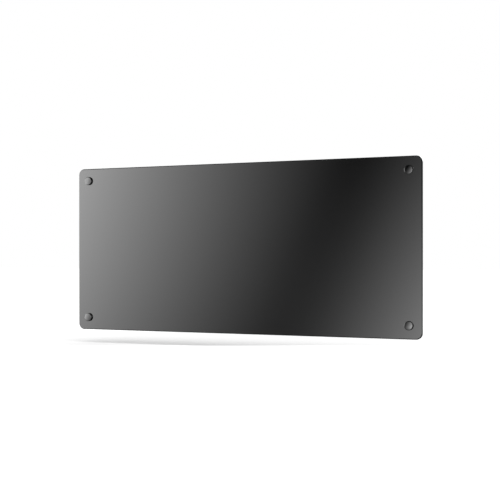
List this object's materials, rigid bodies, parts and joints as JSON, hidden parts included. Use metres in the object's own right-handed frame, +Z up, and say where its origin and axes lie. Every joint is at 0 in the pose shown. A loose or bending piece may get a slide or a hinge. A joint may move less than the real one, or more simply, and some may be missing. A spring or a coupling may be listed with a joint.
{
  "type": "infrared panel heater",
  "caption": "Frameless black glass infrared panel heater with domed corner caps, rear control box and a keyhole wall bracket it lifts off.",
  "frame": {"origin": "on the wall plane, behind the middle of the glass, at the centre of the wall screw holes", "axes": "+X to the right of someone facing the heater, +Y into the wall, +Z up"},
  "size_m": [1, 0.0526, 0.45],
  "materials": {
    "black_glass": "polished, backed in black",
    "gloss_black_cap": "polished black",
    "clear_nylon": "moulded, natural",
    "black_rubber": "moulded",
    "grey_silicone": "extruded",
    "zinc_steel": "zinc plated",
    "tray_steel": "fine black powder coat",
    "bracket_steel": "galvanised sheet",
    "amber_film": "polyimide film",
    "track_foil": "etched foil",
    "copper": "rolled copper strip",
    "aluminium_foil": "bright rolled foil",
    "mineral_mat": "needled mineral fibre",
    "black_box": "fine spark texture",
    "black_nylon": "moulded nylon",
    "switch_black": "moulded",
    "white_block": "moulded polyamide",
    "green_board": "solder mask",
    "relay_case": "moulded",
    "dark_module": "potted module",
    "module_shield": "tinned shield",
    "capacitor_sleeve": "shrunk sleeve",
    "fuse_glass": "ceramic tube",
    "connector_green": "moulded",
    "clear_pipe": "clear acrylic",
    "brown_lead": "silicone sleeve",
    "blue_lead": "silicone sleeve",
    "white_lead": "silicone sleeve",
    "green_lead": "green and yellow sleeve",
    "cutout_case": "moulded case"
  },
  "bodies": {
    "wall_bracket": {"left_wall_rail": "bracket_steel", "right_wall_rail": "bracket_steel", "bracket_crossbar": "bracket_steel", "bracket_rivets": "zinc_steel"},
    "heater": {"glass_panel": "black_glass", "corner_caps": "gloss_black_cap", "cap_washers": "black_rubber", "fixing_studs": "zinc_steel", "glass_bushes": "clear_nylon", "rear_washers": "black_rubber", "spacer_barrels": "zinc_steel", "stud_nuts": "zinc_steel", "hanging_studs": "zinc_steel", "edge_gasket": "grey_silicone", "rear_tray": "tray_steel", "carrier_film": "amber_film", "heating_track": "track_foil", "busbars": "copper", "cover_film": "amber_film", "reflector_foil": "aluminium_foil", "insulation_mat": "mineral_mat", "thermal_cutouts": "cutout_case", "temperature_sensor": "zinc_steel", "sensor_straps": "aluminium_foil", "control_box_base": "black_box", "control_box_cover": "black_box", "cover_screws": "zinc_steel", "box_screws": "zinc_steel", "clinch_nuts": "zinc_steel", "lead_grommet": "black_rubber", "rocker_housing": "switch_black", "rocker_pivot_pin": "zinc_steel", "switch_terminals": "copper", "indicator_light_pipe": "clear_pipe", "indicator_led": "white_block", "gland_body": "black_nylon", "gland_lock_nut": "black_nylon", "gland_seal": "black_rubber", "gland_dome_nut": "black_nylon", "mains_terminal_block": "white_block", "terminal_screws": "zinc_steel", "controller_board": "green_board", "board_screws": "zinc_steel", "relay": "relay_case", "power_supply_module": "dark_module", "receiver_module": "module_shield", "smoothing_capacitor": "capacitor_sleeve", "fuse": "fuse_glass", "fuse_clips": "copper", "board_connectors": "connector_green", "earth_stud": "zinc_steel", "earth_ring_terminal": "copper", "earth_nut": "zinc_steel", "live_leads": "brown_lead", "neutral_leads": "blue_lead", "sensor_lead": "white_lead", "earth_lead": "green_lead"},
    "rocker": {"rocker_key": "switch_black"}
  },
  "joints": [
    {"name": "heater_lift", "type": "slide", "parent": "wall_bracket", "child": "heater", "axis": [0, 0, 1], "range_m": [0, 0.014]},
    {"name": "rocker_tilt", "type": "hinge", "parent": "heater", "child": "rocker", "pos_m": [0.062, -0.0145, -0.1947], "axis": [0, -1, 0], "range_deg": [0, 20]}
  ]
}
